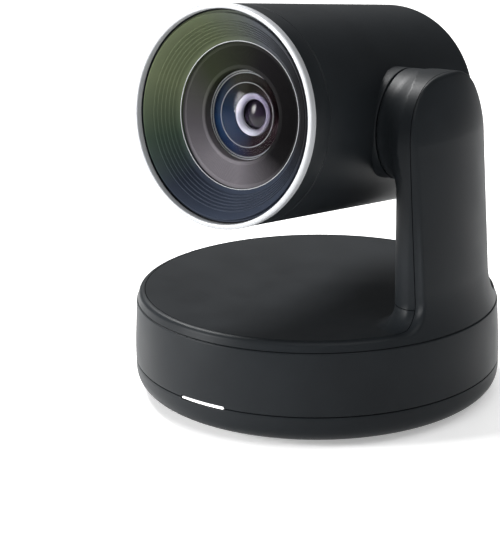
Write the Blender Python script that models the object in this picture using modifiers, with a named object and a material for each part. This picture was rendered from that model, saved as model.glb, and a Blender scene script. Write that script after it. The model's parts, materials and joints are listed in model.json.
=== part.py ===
"""Pan-tilt-zoom conference camera: a round base, a turning turret with one arm, and a tilting lens head.

The origin is at the centre of the base's underside. The lens looks along -Y, the arm stands on the +X side and
+Z is up. Every dimension below is in millimetres, and MM turns it into Blender's metres when a mesh is made.
The head is modelled level about the tilt axis, and its parent empty then tips it up to its rest angle.
"""

import math

import bmesh
import bpy
from mathutils import Matrix

MM = 0.001
GAP = 0.3  # clearance between pieces that touch
HALF_GAP = GAP / 2
WALL = 2.2  # thickness of the moulded shells
LARGE_STEPS = 40
MEDIUM_STEPS = 28
SMALL_STEPS = 18

# Base
BASE_RADIUS = 77.2
BASE_TOP_RADIUS = 76.0
WIDEST_Z = 20.0  # the wall leans in above this height
UPPER_SEAM = 39.6
LOWER_SEAM = 14.0
BOWL_TOP = 12.2  # height where the bowl starts to curve under
BOWL_EXPONENT = 3.0
UNDERSIDE = 0.45
UNDERSIDE_RADIUS = 54.0
INNER_RADIUS = BASE_RADIUS - 2.9
FOOT_RADII, FOOT_HEIGHT = (44.0, 52.0), 1.6
INSERT_RADIUS = 12.0
THREAD_RADIUS = 3.2  # 1/4"-20 tripod thread, major diameter 6.35
CHASSIS_LOW, CHASSIS_HIGH = 9.6, 11.1
HUB_RADII, HUB_TOP = (10.0, 14.0), 26.0
BASE_SCREW_CIRCLE = 33.0
COUNTERBORE_RADIUS, COUNTERBORE_TOP = 3.1, 3.3
SCREW_HEAD_LOW, SCREW_HEAD_HIGH = 1.4, COUNTERBORE_TOP - GAP
LIGHT_X, LIGHT_WIDTH, LIGHT_HEIGHT = -1.7, 21.0, 1.2

# Ports on the rear of the base
PORT_HALF_WIDTH, PORT_LOW, PORT_HIGH = 28.0, 18.0, 33.0
PORT_FACE = 64.0
PORT_MIDDLE = (PORT_LOW + PORT_HIGH) / 2
HDMI_X, USB_X, POWER_X, BUTTON_X = -15.0, 1.0, 14.0, 24.0
HDMI_SIZE, HDMI_CAVITY = (15.8, 6.2), (14.4, 4.8)
USB_SIZE, USB_CAVITY = (9.4, 3.7), (8.5, 2.7)
POWER_RADIUS, POWER_BORE, POWER_PIN = 5.2, 3.4, 0.8
BUTTON_RADIUS = 2.2
LOCK_X, LOCK_Z, LOCK_SLOT = -44.0, 27.0, (7.0, 3.0)

# Turret
RING_TOP = 43.5
RING_RADIUS = 75.5
DECK_RADIUS = 72.2
DECK_UNDERSIDE = 36.9
DECK_DISH = 4.2  # the deck dips this far in the middle, so that the lens rim clears it
TURRET_PLATE_LOW, TURRET_PLATE_HIGH, TURRET_PLATE_RADIUS = 31.4, 32.9, 60.0
SPINDLE_RADII = (3.2, 5.0)

# Arm
ARM_HALF_WIDTH = 27.2
ARM_TOP = 138.4
ARM_CENTRE = 111.5  # height where the arm's straight sides turn into its round top
ARM_EXPONENT = 2.5
ARM_TOP_STEPS = 9
ARM_INNER_X = 51.5
ARM_CORNER = 9.5
SEAM_X, SEAM_Z, SEAM_LEAN = 61.0, 124.0, 0.044  # the seam between inner shell and cover leans inwards going up
ROOT_SEAM = 50.5
ROOT_SWEEP, ROOT_HEIGHT = 9.0, 9.5  # the arm's foot spreads this far, over this height above the ring
BAND_INSET = 1.5  # the cover's edge band narrows by this much from the seam to its crisp edge

SWEEP_LEVELS = (RING_TOP, RING_TOP + 0.8, RING_TOP + 2, RING_TOP + 4, RING_TOP + ROOT_HEIGHT)
CROWN_Z = 114.0  # the outer face starts to round over here

# Tilt joint and head
TILT_Z = 116.4
TILT_REST = 6.7  # degrees that the lens looks up at rest
LENS_RISE = 1.5  # the lens axis lies this far above the tilt axis
BOSS_RADIUS = 22.0
BOSS_FACE = 43.0
HEAD_RADIUS = 42.3
HEAD_FRONT = 64.4
HEAD_SEAM = 52.4
HEAD_STRAIGHT_END = -53.9
HEAD_REAR = -68.9
HEAD_EXPONENT = 2.3
TRIM_RADII = (40.4, 42.5)
BAFFLE_RIM, BAFFLE_DEPTH = 28.4, 52.4
CELL_RADIUS, CELL_FACE = 17.9, 50.4
BARREL_RADII = (20.0, 22.2)
SHAFT_RADIUS = 4.0

# Drives
MODULE = 0.8
PAN_TEETH, PAN_PINION_TEETH = 60, 15
TILT_TEETH, TILT_PINION_TEETH = 42, 12
PAN_MOTOR_ANGLE = 135.0
GEAR_BAND = 4.0


def clear_scene():
    for obj in list(bpy.data.objects):
        bpy.data.objects.remove(obj, do_unlink=True)


def new_collection(name, hidden=False):
    made = bpy.data.collections.new(name)
    bpy.context.scene.collection.children.link(made)
    made.hide_render = hidden
    return made


def new_material(name, colour, roughness, metallic=0.0):
    made = bpy.data.materials.new(name)
    made.use_nodes = True
    shader = made.node_tree.nodes["Principled BSDF"]
    shader.inputs["Base Color"].default_value = (*colour, 1.0)
    shader.inputs["Roughness"].default_value = roughness
    shader.inputs["Metallic"].default_value = metallic
    return made


def pivot(name, location=(0, 0, 0), tip=0.0, parent=None):
    """An empty on a joint's axis."""
    empty = bpy.data.objects.new(name, None)
    PARTS.objects.link(empty)
    empty.location = [v * MM for v in location]
    empty.rotation_euler = (math.radians(-tip), 0, 0)
    empty.parent = parent
    return empty


def add(name, mesh, look, location=(0, 0, 0), turn=(0, 0, 0), parent=None):
    """Links a mesh as a part if it has a material, and as a hidden cutter if it has none."""
    obj = bpy.data.objects.new(name, mesh)
    if look is None:
        CUTTERS.objects.link(obj)
        obj.hide_render = True
        obj.display_type = "WIRE"
    else:
        PARTS.objects.link(obj)
        mesh.materials.append(look)
    obj.location = [v * MM for v in location]
    obj.rotation_euler = [math.radians(v) for v in turn]
    obj.parent = parent
    return obj


def turned(name, profile, look, steps=SMALL_STEPS, **place):
    """A profile of (radius, height) points turned round Z. It is open if both its ends lie on the axis."""
    closed = not (profile[0][0] == 0 and profile[-1][0] == 0)
    loop = list(zip(profile, profile[1:] + profile[:1]))
    if sum(a[0] * b[1] - b[0] * a[1] for a, b in loop) > 0:
        profile = profile[::-1]
    count = len(profile)
    edges = [(i, (i + 1) % count) for i in range(count if closed else count - 1)]
    mesh = bpy.data.meshes.new(name)
    mesh.from_pydata([(r * MM, 0, z * MM) for r, z in profile], edges, [])
    obj = add(name, mesh, look, **place)
    screw = obj.modifiers.new("turn", "SCREW")
    screw.axis = "Z"
    screw.angle = math.tau
    screw.steps = screw.render_steps = steps
    screw.use_merge_vertices = True
    screw.merge_threshold = 0.00001
    screw.use_smooth_shade = False
    return obj


def box(name, low, high, look, bevel=0.0, **place):
    """A block between two corners, with an optional rounded edge."""
    mesh = bpy.data.meshes.new(name)
    shape = bmesh.new()
    bmesh.ops.create_cube(shape, size=1.0)
    size = [(b - a) * MM for a, b in zip(low, high)]
    middle = [(a + b) / 2 * MM for a, b in zip(low, high)]
    matrix = Matrix.Translation(middle) @ Matrix.Diagonal((*size, 1))
    bmesh.ops.transform(shape, matrix=matrix, verts=shape.verts)
    shape.to_mesh(mesh)
    shape.free()
    obj = add(name, mesh, look, **place)
    if bevel:
        edge = obj.modifiers.new("edge", "BEVEL")
        edge.width = bevel * MM
        edge.segments = 2
    return obj


def flat(name, outlines, thickness, look, **place):
    """Flat outlines in the XY plane, the later ones as holes, thickened evenly about Z = 0."""
    curve = bpy.data.curves.new(name, "CURVE")
    curve.dimensions = "2D"
    curve.fill_mode = "BOTH"
    curve.extrude = thickness / 2 * MM
    for outline in outlines:
        spline = curve.splines.new("POLY")
        spline.points.add(len(outline) - 1)
        for point, (x, y) in zip(spline.points, outline):
            point.co = (x * MM, y * MM, 0, 1)
        spline.use_cyclic_u = True
    holder = bpy.data.objects.new(name + "_outline", curve)
    bpy.context.scene.collection.objects.link(holder)
    mesh = bpy.data.meshes.new_from_object(holder.evaluated_get(bpy.context.evaluated_depsgraph_get()))
    bpy.data.objects.remove(holder)
    shape = bmesh.new()
    shape.from_mesh(mesh)
    bmesh.ops.remove_doubles(shape, verts=shape.verts, dist=0.000001)
    bmesh.ops.recalc_face_normals(shape, faces=shape.faces)
    shape.to_mesh(mesh)
    shape.free()
    mesh.name = name
    mesh.materials.clear()
    return add(name, mesh, look, **place)


def loft(name, sections, look, **place):
    """A closed body through sections, each a loop of the same number of (x, y, z) points."""
    mesh = bpy.data.meshes.new(name)
    shape = bmesh.new()
    rings = [[shape.verts.new([v * MM for v in point]) for point in section] for section in sections]
    for low, high in zip(rings, rings[1:]):
        for i in range(len(low)):
            j = (i + 1) % len(low)
            shape.faces.new((low[i], low[j], high[j], high[i]))
    shape.faces.new(rings[0][::-1])
    shape.faces.new(rings[-1])
    bmesh.ops.recalc_face_normals(shape, faces=shape.faces)
    shape.to_mesh(mesh)
    shape.free()
    return add(name, mesh, look, **place)


def combine(target, operation, *others):
    for other in others:
        step = target.modifiers.new(other.name, "BOOLEAN")
        step.operation = operation
        step.object = other
    return target


def cut(target, *others):
    return combine(target, "DIFFERENCE", *others)


def join(target, *others):
    return combine(target, "UNION", *others)


def keep(target, *others):
    return combine(target, "INTERSECT", *others)


def ring(inner, outer, low, high):
    return [(outer, high), (outer, low), (inner, low), (inner, high)]


def disc(radius, low, high):
    return [(0, high), (radius, high), (radius, low), (0, low)]


def circle(radius, count=SMALL_STEPS, x=0.0, y=0.0):
    turns = [math.tau * i / count for i in range(count)]
    return [(x + radius * math.cos(a), y + radius * math.sin(a)) for a in turns]


def corner(inner, outer, high, low, exponent, count):
    """A superelliptic quarter from (outer, high) round to (inner, low)."""
    points = []
    for i in range(count + 1):
        angle = math.pi / 2 * i / count
        across = max(math.cos(angle), 0.0) ** (2 / exponent)
        down = math.sin(angle) ** (2 / exponent)
        points.append((inner + (outer - inner) * across, high + (low - high) * down))
    return points


def gear_outline(teeth, phase):
    """Straight-flanked teeth thinner than half the pitch, so that a pair turns with backlash."""
    pitch_radius = MODULE * teeth / 2
    pitch_angle = math.tau / teeth
    shape = ((-0.29, -1.15), (-0.12, 0.75), (0.12, 0.75), (0.29, -1.15))
    points = []
    for tooth in range(teeth):
        for share, height in shape:
            angle = phase + pitch_angle * (tooth + share)
            radius = pitch_radius + height * MODULE
            points.append((radius * math.cos(angle), radius * math.sin(angle)))
    return points


# ---------------------------------------------------------------- base


def light_notch(name):
    half = LIGHT_WIDTH / 2 + GAP
    low, high = LOWER_SEAM - LIGHT_HEIGHT / 2 - GAP, LOWER_SEAM + LIGHT_HEIGHT / 2 + GAP
    return box(name, (LIGHT_X - half, -80, low), (LIGHT_X + half, -70, high), None)


def base_screw_places():
    """The four screws stand on the diagonals."""
    return circle(BASE_SCREW_CIRCLE, 8)[1::2]


def make_base_bottom():
    """The bowl with its foot groove, its insert hole and four screw posts."""
    floor = UNDERSIDE + WALL
    seam = LOWER_SEAM - HALF_GAP
    outer = corner(UNDERSIDE_RADIUS, BASE_RADIUS, BOWL_TOP, UNDERSIDE, BOWL_EXPONENT, 7)
    inner = corner(UNDERSIDE_RADIUS - 1.5, INNER_RADIUS, BOWL_TOP, floor, BOWL_EXPONENT, 4)
    groove_inner, groove_outer = FOOT_RADII[0] - GAP, FOOT_RADII[1] + GAP
    groove_top = FOOT_HEIGHT + GAP
    underside = [(groove_outer, UNDERSIDE), (groove_outer, groove_top), (groove_inner, groove_top),
                 (groove_inner, UNDERSIDE), (INSERT_RADIUS + GAP, UNDERSIDE), (INSERT_RADIUS + GAP, floor)]
    bottom = turned("base_bottom", [(BASE_RADIUS - 0.3, seam)] + outer + underside + inner[::-1]
                    + [(INNER_RADIUS, seam)], SHELL, LARGE_STEPS)
    cut(bottom, light_notch("light_notch_low"))
    for number, (x, y) in enumerate(base_screw_places(), 1):
        join(bottom, turned(f"screw_post_{number}", disc(5, 2, 5), None, 12, location=(x, y, 0)))
        cut(bottom, turned(f"counterbore_{number}", disc(COUNTERBORE_RADIUS, 0, COUNTERBORE_TOP), None, 12,
                           location=(x, y, 0)),
            turned(f"screw_hole_{number}", disc(1.8, 0, 6), None, 12, location=(x, y, 0)))


def make_base_wall():
    wall = turned("base_wall", [(BASE_TOP_RADIUS - 0.5, UPPER_SEAM - HALF_GAP),
                                (BASE_TOP_RADIUS, UPPER_SEAM - 0.7), (BASE_RADIUS, WIDEST_Z),
                                (BASE_RADIUS, LOWER_SEAM + 0.5), (BASE_RADIUS - 0.3, LOWER_SEAM + HALF_GAP),
                                (INNER_RADIUS, LOWER_SEAM + HALF_GAP), (INNER_RADIUS, UPPER_SEAM - HALF_GAP)],
                  SHELL, LARGE_STEPS)
    window = box("port_window", (-PORT_HALF_WIDTH, 50, PORT_LOW), (PORT_HALF_WIDTH, 90, PORT_HIGH), None)
    half_long, half_wide = LOCK_SLOT[0] / 2, LOCK_SLOT[1] / 2
    slot = box("lock_slot", (LOCK_X - half_long, 50, LOCK_Z - half_wide),
               (LOCK_X + half_long, 90, LOCK_Z + half_wide), None)
    cut(wall, light_notch("light_notch_high"), window, slot)


def make_light_bar():
    half = LIGHT_WIDTH / 2
    low, high = LOWER_SEAM - LIGHT_HEIGHT / 2, LOWER_SEAM + LIGHT_HEIGHT / 2
    bar = turned("light_bar", ring(INNER_RADIUS + 0.4, BASE_RADIUS, low, high), LIGHT, 2 * LARGE_STEPS)
    keep(bar, box("light_span", (LIGHT_X - half, -90, 0), (LIGHT_X + half, -50, 30), None))


def make_base_inside():
    turned("foot_ring", ring(*FOOT_RADII, 0, FOOT_HEIGHT), RUBBER, LARGE_STEPS)
    floor, end, neck = UNDERSIDE + WALL - GAP, CHASSIS_LOW - GAP, INSERT_RADIUS - 4
    turned("tripod_insert", [(INSERT_RADIUS, floor), (INSERT_RADIUS, UNDERSIDE), (THREAD_RADIUS, UNDERSIDE),
                             (THREAD_RADIUS, end), (neck, end), (neck, floor)], STEEL)
    inner, outer = HUB_RADII
    turned("chassis_plate", [(0, CHASSIS_HIGH), (inner, CHASSIS_HIGH), (inner, HUB_TOP), (outer, HUB_TOP),
                             (outer, CHASSIS_HIGH), (68, CHASSIS_HIGH), (68, CHASSIS_LOW), (0, CHASSIS_LOW)],
           STEEL, MEDIUM_STEPS)
    box("main_board", (-38, 35, 14), (38, 59, 15.6), BOARD)
    for number, (x, y) in enumerate(base_screw_places(), 1):
        profile = [(0, end), (1.5, end), (1.5, SCREW_HEAD_HIGH), (2.7, SCREW_HEAD_HIGH), (2.7, SCREW_HEAD_LOW),
                   (0, SCREW_HEAD_LOW)]
        screw = turned(f"base_screw_{number}", profile, STEEL, 16, location=(x, y, 0))
        cut(screw, turned(f"screw_socket_{number}", disc(1.3, 0, SCREW_HEAD_LOW + 0.9), None, 6,
                          location=(x, y, 0)))
    turned("pan_bearing_outer", ring(8.0, inner - 0.05, 17, 24), STEEL, MEDIUM_STEPS)


def port_hole(name, x, half_x, half_z):
    return box(name, (x - half_x, 40, PORT_MIDDLE - half_z), (x + half_x, 90, PORT_MIDDLE + half_z), None)


def make_ports():
    rim = 1.7
    panel = box("port_panel", (-PORT_HALF_WIDTH - rim, PORT_FACE - 2, PORT_LOW - rim),
                (PORT_HALF_WIDTH + rim, PORT_FACE + 14, PORT_HIGH + rim), DARK)
    hollow = box("port_hollow", (-PORT_HALF_WIDTH, PORT_FACE, PORT_LOW), (PORT_HALF_WIDTH, 90, PORT_HIGH), None)
    inside = turned("port_limit", disc(INNER_RADIUS - GAP, 0, 60), None, 2 * LARGE_STEPS)
    facing = {"turn": (-90, 0, 0)}
    power_window = disc(POWER_RADIUS + GAP, 40, 90)
    button_window = disc(BUTTON_RADIUS + 0.08, 40, 90)
    cut(keep(panel, inside), hollow,
        port_hole("hdmi_window", HDMI_X, HDMI_SIZE[0] / 2 + GAP, HDMI_SIZE[1] / 2 + GAP),
        port_hole("usb_window", USB_X, USB_SIZE[0] / 2 + GAP, USB_SIZE[1] / 2 + GAP),
        turned("power_window", power_window, None, location=(POWER_X, 0, PORT_MIDDLE), **facing),
        turned("button_window", button_window, None, location=(BUTTON_X, 0, PORT_MIDDLE), **facing))
    for name, x, size, cavity, depth in (("hdmi_socket", HDMI_X, HDMI_SIZE, HDMI_CAVITY, 11.5),
                                         ("usb_socket", USB_X, USB_SIZE, USB_CAVITY, 8.0)):
        half_x, half_z = size[0] / 2, size[1] / 2
        socket = box(name, (x - half_x, PORT_FACE - depth, PORT_MIDDLE - half_z),
                     (x + half_x, PORT_FACE + 0.5, PORT_MIDDLE + half_z), STEEL)
        half_x, half_z = cavity[0] / 2, cavity[1] / 2
        cut(socket, box(name + "_cavity", (x - half_x, PORT_FACE - depth + 1, PORT_MIDDLE - half_z),
                        (x + half_x, 90, PORT_MIDDLE + half_z), None))
    back, front, mouth = PORT_FACE - 11, PORT_FACE + 0.5, PORT_FACE - 5
    turned("power_inlet", [(0, mouth), (POWER_PIN, mouth), (POWER_PIN, back + 1.5), (POWER_BORE, back + 1.5),
                           (POWER_BORE, front), (POWER_RADIUS, front), (POWER_RADIUS, back), (0, back)],
           DARK, location=(POWER_X, 0, PORT_MIDDLE), **facing)
    box("lock_plate", (LOCK_X - 6, 51.5, LOCK_Z - 5), (LOCK_X + 6, 53, LOCK_Z + 5), STEEL)


def make_pairing_button():
    axis = pivot("pairing_button_axis", (BUTTON_X, PORT_FACE, PORT_MIDDLE))
    back = PORT_FACE - 2
    turned("pairing_button", [(0, 1.0), (BUTTON_RADIUS - 0.3, 1.0), (BUTTON_RADIUS, 0.7),
                              (BUTTON_RADIUS, back - GAP - PORT_FACE), (3.0, back - GAP - PORT_FACE),
                              (3.0, back - 1.5 - PORT_FACE), (0, back - 1.5 - PORT_FACE)],
           DARK, turn=(-90, 0, 0), parent=axis)


def make_pan_drive():
    distance = MODULE * (PAN_TEETH + PAN_PINION_TEETH) / 2
    angle = math.radians(PAN_MOTOR_ANGLE)
    place = (distance * math.cos(angle), distance * math.sin(angle), 0)
    turned("pan_motor", disc(11, CHASSIS_HIGH + GAP, 24.5), STEEL, MEDIUM_STEPS, location=place)
    axis = pivot("pan_pinion_axis", place)
    pinion_low = TURRET_PLATE_LOW - 0.7 - GEAR_BAND
    teeth = gear_outline(PAN_PINION_TEETH, angle + math.pi + math.pi / PAN_PINION_TEETH)
    pinion = flat("pan_pinion", [teeth], GEAR_BAND, BRASS, location=(0, 0, pinion_low + GEAR_BAND / 2), parent=axis)
    join(pinion, turned("pan_pinion_shaft", disc(1.5, 24.5 + GAP, pinion_low + 1), None, parent=axis))


# ---------------------------------------------------------------- turret


def seam_x(z):
    return SEAM_X + SEAM_LEAN * (SEAM_Z - z)


def root_spread(z):
    """How far the arm's foot spreads at this height, where it sweeps out onto the ring and the deck."""
    return ROOT_SWEEP * min(max(1 - (z - RING_TOP) / ROOT_HEIGHT, 0.0), 1.0) ** 3


def arm_outline(inset, low, exponent=ARM_EXPONENT, flared=False):
    """The arm seen from the side as (y, z) points: straight sides, a swept foot and a superelliptic top."""
    half = ARM_HALF_WIDTH - inset
    right = corner(0, half, ARM_CENTRE, ARM_TOP - inset, exponent, ARM_TOP_STEPS)
    swept = [(half + root_spread(z), z) for z in (low, *SWEEP_LEVELS) if z >= low]
    side = (swept if flared else [(half, low)]) + right
    return side + [(-y, z) for y, z in side[-2::-1]]


def arm_section(x, inset, low, **outline):
    return [(x, y, z) for y, z in arm_outline(inset, low, **outline)]


def boss_section(x, radius):
    """A circle that shares its top with the arm."""
    top = TILT_Z + BOSS_RADIUS
    turns = [math.tau * i / MEDIUM_STEPS for i in range(MEDIUM_STEPS)]
    return [(x, radius * math.cos(a), top - radius + radius * math.sin(a)) for a in turns]


def seam_half(name, side, low=20.0, high=170.0):
    """A block that fills the space on one side of the leaning seam."""
    far = 20.0 if side < 0 else 100.0
    here = [seam_x(z) - side * HALF_GAP for z in (low, high)]
    section = [(here[0], low), (here[1], high), (far, high), (far, low)]
    return loft(name, [[(x, y, z) for x, z in section] for y in (-60, 60)], None)


def cover_radius(z):
    """Distance of the arm's outer face from the pan axis: flared at the foot, leaning in, rounded at the top."""
    flare = max(0.0, (56.0 - z) / 16.0)
    lean = 72.4 - 0.063 * (z - 56.0)
    crown = max(0.0, (z - CROWN_Z) / (ARM_TOP - CROWN_Z))
    return lean + 2.1 * flare**1.6 - 4.6 * min(crown, 1.0) ** 1.5


def cover_body(name, inset, look):
    """The outer half of the arm as a solid, shrunk all round by inset."""
    solid = inset == 0
    low = UPPER_SEAM + HALF_GAP - (0 if solid else 5)
    band = ((50, 0.0, ARM_EXPONENT), (SEAM_X - 1, 0.0, ARM_EXPONENT), (SEAM_X + 1.5, BAND_INSET / 2, 2.3),
            (SEAM_X + 5, BAND_INSET, 2.1), (90, BAND_INSET, 2.1))
    body = loft(name, [arm_section(x, inset + step, low, exponent=exponent, flared=solid)
                       for x, step, exponent in band], look)
    heights = [low - 1, 43, 46, 50, 56, 70, 85, 100, 112, 118, 124, 129, 133, 136, ARM_TOP]
    profile = [(0, 145)] + [(cover_radius(z) - inset, z) for z in [145] + heights[::-1]] + [(0, heights[0])]
    return keep(body, turned(name + "_face", profile, None, 2 * LARGE_STEPS, parent=TURRET))


def make_turret_cover():
    body = cover_body("turret_cover", 0, SHELL)
    body.parent = TURRET
    low = UPPER_SEAM + HALF_GAP
    collar = turned("turret_ring", [(72.6, RING_TOP - 0.1), (73.6, RING_TOP), (74.7, RING_TOP - 0.6),
                                    (RING_RADIUS, RING_TOP - 2), (RING_RADIUS + 0.3, low), (68.5, low),
                                    (68.5, DECK_UNDERSIDE + 3.8), (72.6, DECK_UNDERSIDE + 3.8)],
                    None, LARGE_STEPS, parent=TURRET)
    cut(body, seam_half("cover_seam", -1), cover_body("cover_hollow", WALL, None))
    join(body, collar)


def root_section(z):
    """A level section of the arm's inner half where it sweeps out onto the deck, its corners rounded."""
    inner, half = ARM_INNER_X - root_spread(z), ARM_HALF_WIDTH + root_spread(z)
    points = [(72.0, -half)]
    for i in range(6):
        angle = math.pi / 2 * i / 5
        points.append((inner + ARM_CORNER * (1 - math.sin(angle)),
                       -half + ARM_CORNER * (1 - math.cos(angle))))
    mirrored = [(x, -y) for x, y in points[::-1]]
    return [(x, y, z) for x, y in points + mirrored]


def make_deck():
    dish = [(DECK_RADIUS * share, RING_TOP - 0.1 - DECK_DISH * (1 - share**2))
            for share in (0, 0.25, 0.5, 0.75, 0.93)]
    edge = [(DECK_RADIUS - 0.3, RING_TOP - 0.1), (DECK_RADIUS, RING_TOP - 0.4),
            (DECK_RADIUS, DECK_UNDERSIDE + 4.1), (68.2, DECK_UNDERSIDE + 4.1), (60, DECK_UNDERSIDE + 2),
            (30, DECK_UNDERSIDE), (0, DECK_UNDERSIDE)]
    deck = turned("deck", dish + edge, SHELL, LARGE_STEPS, parent=TURRET)
    top = ROOT_SEAM - HALF_GAP
    levels = (RING_TOP - 2.4, *SWEEP_LEVELS[:-1], top)
    root = loft("arm_root", [root_section(z) for z in levels], None, parent=TURRET)
    limit = turned("root_limit", disc(DECK_RADIUS, 30, 60), None, 2 * LARGE_STEPS, parent=TURRET)
    keep(root, limit)
    cover_space = keep(loft("cover_space", [arm_section(x, -GAP, 20, flared=True) for x in (55, 90)], None,
                            parent=TURRET), seam_half("cover_space_side", 1))
    pocket_half = ARM_HALF_WIDTH - 5
    pocket = box("root_pocket", (ARM_INNER_X + WALL, -pocket_half, 20), (80, pocket_half, 60), None, parent=TURRET)
    cut(join(deck, root), cover_space, pocket)


def arm_body(name, inset, low, look):
    """The inner half of the arm with its boss, shrunk all round by inset."""
    start = ARM_INNER_X + inset
    sections = []
    for i in range(6):
        angle = math.pi / 2 * i / 5
        side = inset + (ARM_CORNER - inset) * (1 - math.sin(angle))
        sections.append(arm_section(start + (ARM_CORNER - inset) * (1 - math.cos(angle)), side, low))
    sections.append(arm_section(75, inset, low))
    slab = loft(name, sections, look, parent=TURRET)
    face = BOSS_FACE + inset
    radius = BOSS_RADIUS - inset
    rings = [boss_section(face, radius), boss_section(50, radius + 0.8), boss_section(59, radius + 3.4)]
    return join(slab, loft(name + "_boss", rings, None, parent=TURRET))


def make_arm_inner_shell():
    bottom = ROOT_SEAM + HALF_GAP
    shell = arm_body("arm_inner_shell", 0, bottom, SHELL)
    hollow = arm_body("arm_hollow", WALL, bottom - 10, None)
    bore = turned("shell_bore", disc(9, 40, 50), None, location=(0, 0, TILT_Z), turn=(0, 90, 0),
                  parent=TURRET)
    cut(shell, hollow, seam_half("shell_seam", 1), bore)


def along_x(radii, low, high):
    return {"profile": ring(*radii, low, high), "location": (0, 0, TILT_Z), "turn": (0, 90, 0)}


def make_turret_inside():
    inner, outer = SPINDLE_RADII
    plate = ring(outer + GAP, TURRET_PLATE_RADIUS, TURRET_PLATE_LOW, TURRET_PLATE_HIGH)
    turned("turret_plate", plate, STEEL, MEDIUM_STEPS, parent=TURRET)
    flange = TURRET_PLATE_HIGH + GAP
    turned("pan_spindle", [(9, flange + 1.5), (9, flange), (outer, flange), (outer, 14), (inner, 14),
                           (inner, flange + 1.5)], STEEL, MEDIUM_STEPS, parent=TURRET)
    turned("pan_bearing_inner", ring(outer + 0.05, 6.8, 17, 24), STEEL, MEDIUM_STEPS, parent=TURRET)
    angle = math.radians(PAN_MOTOR_ANGLE)
    low = TURRET_PLATE_LOW - GAP - GEAR_BAND
    flat("pan_gear", [gear_outline(PAN_TEETH, angle), circle(16)], GEAR_BAND, WHITE,
         location=(0, 0, low + GEAR_BAND / 2), parent=TURRET)


def make_arm_inside():
    plate_x, plate = 54.4, 1.4
    foot_low = TURRET_PLATE_HIGH + GAP
    frame = box("arm_frame", (plate_x, -14, foot_low), (plate_x + plate, 14, TILT_Z + 12), STEEL, parent=TURRET)
    foot = box("arm_foot", (40, -14, foot_low), (plate_x + 0.5, 14, foot_low + plate), None, parent=TURRET)
    hub = turned("arm_hub", look=None, parent=TURRET,
                 **along_x((8.6, 11), BOSS_FACE + WALL + 0.5, plate_x + 0.5))
    bore = turned("arm_bore", disc(8.6, 40, 70), None, location=(0, 0, TILT_Z), turn=(0, 90, 0),
                  parent=TURRET)
    cut(join(frame, foot, hub), bore)
    turned("tilt_bearing_outer", look=STEEL, parent=TURRET, **along_x((6.6, 8.55), 48, 53))
    for number, y in ((1, -9), (2, 9)):
        turned(f"arm_screw_{number}", disc(2.4, foot_low + plate + GAP, foot_low + plate + 1.7), STEEL, 16,
               location=(46, y, 0), parent=TURRET)
    distance = MODULE * (TILT_TEETH + TILT_PINION_TEETH) / 2
    place = (0, 0, TILT_Z - distance)
    motor = turned("tilt_motor", disc(9, 61.5, 66.2), STEEL, MEDIUM_STEPS, location=place, turn=(0, 90, 0),
                   parent=TURRET)
    for side in (-1, 1):
        join(motor, turned(f"tilt_motor_post_{side}", disc(1.4, plate_x + plate + GAP, 62), None, 12,
                           location=(0, 7.3 * side, place[2] - 4), turn=(0, 90, 0), parent=TURRET))
    box("flex_cable", (58.5, -13, foot_low + 3), (59, -5, 84), DARK, parent=TURRET)
    axis = pivot("tilt_pinion_axis", place, parent=TURRET)
    teeth = gear_outline(TILT_PINION_TEETH, math.pi + math.pi / TILT_PINION_TEETH)
    pinion = flat("tilt_pinion", [teeth], 3.0, BRASS, location=(58.6, 0, 0), turn=(0, 90, 0), parent=axis)
    join(pinion, turned("tilt_pinion_shaft", disc(1.2, 59, 61.5 - GAP), None, turn=(0, 90, 0), parent=axis))


# ---------------------------------------------------------------- head, along its own lens axis


def lens_turned(name, profile, look, steps=MEDIUM_STEPS):
    """A piece turned round the lens axis, whose profile heights run forwards."""
    return turned(name, profile, look, steps, location=(0, 0, LENS_RISE), turn=(90, 0, 0), parent=HEAD)


def make_head_shells():
    dome = corner(0, HEAD_RADIUS, HEAD_STRAIGHT_END, HEAD_REAR, HEAD_EXPONENT, 5)
    hollow = corner(0, HEAD_RADIUS - WALL, HEAD_STRAIGHT_END, HEAD_REAR + WALL, HEAD_EXPONENT, 3)
    seam = HEAD_SEAM - HALF_GAP
    dome[-1], hollow[-1] = (0, HEAD_REAR), (0, HEAD_REAR + WALL)
    rim = [(HEAD_RADIUS - WALL, seam), (HEAD_RADIUS, seam)]
    shell = lens_turned("head_shell", hollow[::-1] + rim + dome, SHELL, LARGE_STEPS)
    collar = turned("head_collar", disc(BOSS_RADIUS, 35, BOSS_FACE - GAP), None, LARGE_STEPS, turn=(0, 90, 0),
                    parent=HEAD)
    bore = turned("head_bore", disc(7, 30, 50), None, turn=(0, 90, 0), parent=HEAD)
    cut(join(shell, collar), bore)
    inner, outer = TRIM_RADII
    back = HEAD_FRONT - 2.6
    lens_turned("front_bezel", [(HEAD_RADIUS, back - GAP), (HEAD_RADIUS, HEAD_SEAM + HALF_GAP),
                                (HEAD_RADIUS - WALL, HEAD_SEAM + HALF_GAP), (HEAD_RADIUS - WALL, back - GAP)],
                SHELL, LARGE_STEPS)
    lens_turned("trim_ring", [(outer - 0.5, HEAD_FRONT), (outer, HEAD_FRONT - 0.5), (outer, back),
                              (inner, back), (inner, HEAD_FRONT - 0.3), (inner + 0.3, HEAD_FRONT)],
                CHROME, LARGE_STEPS)


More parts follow.
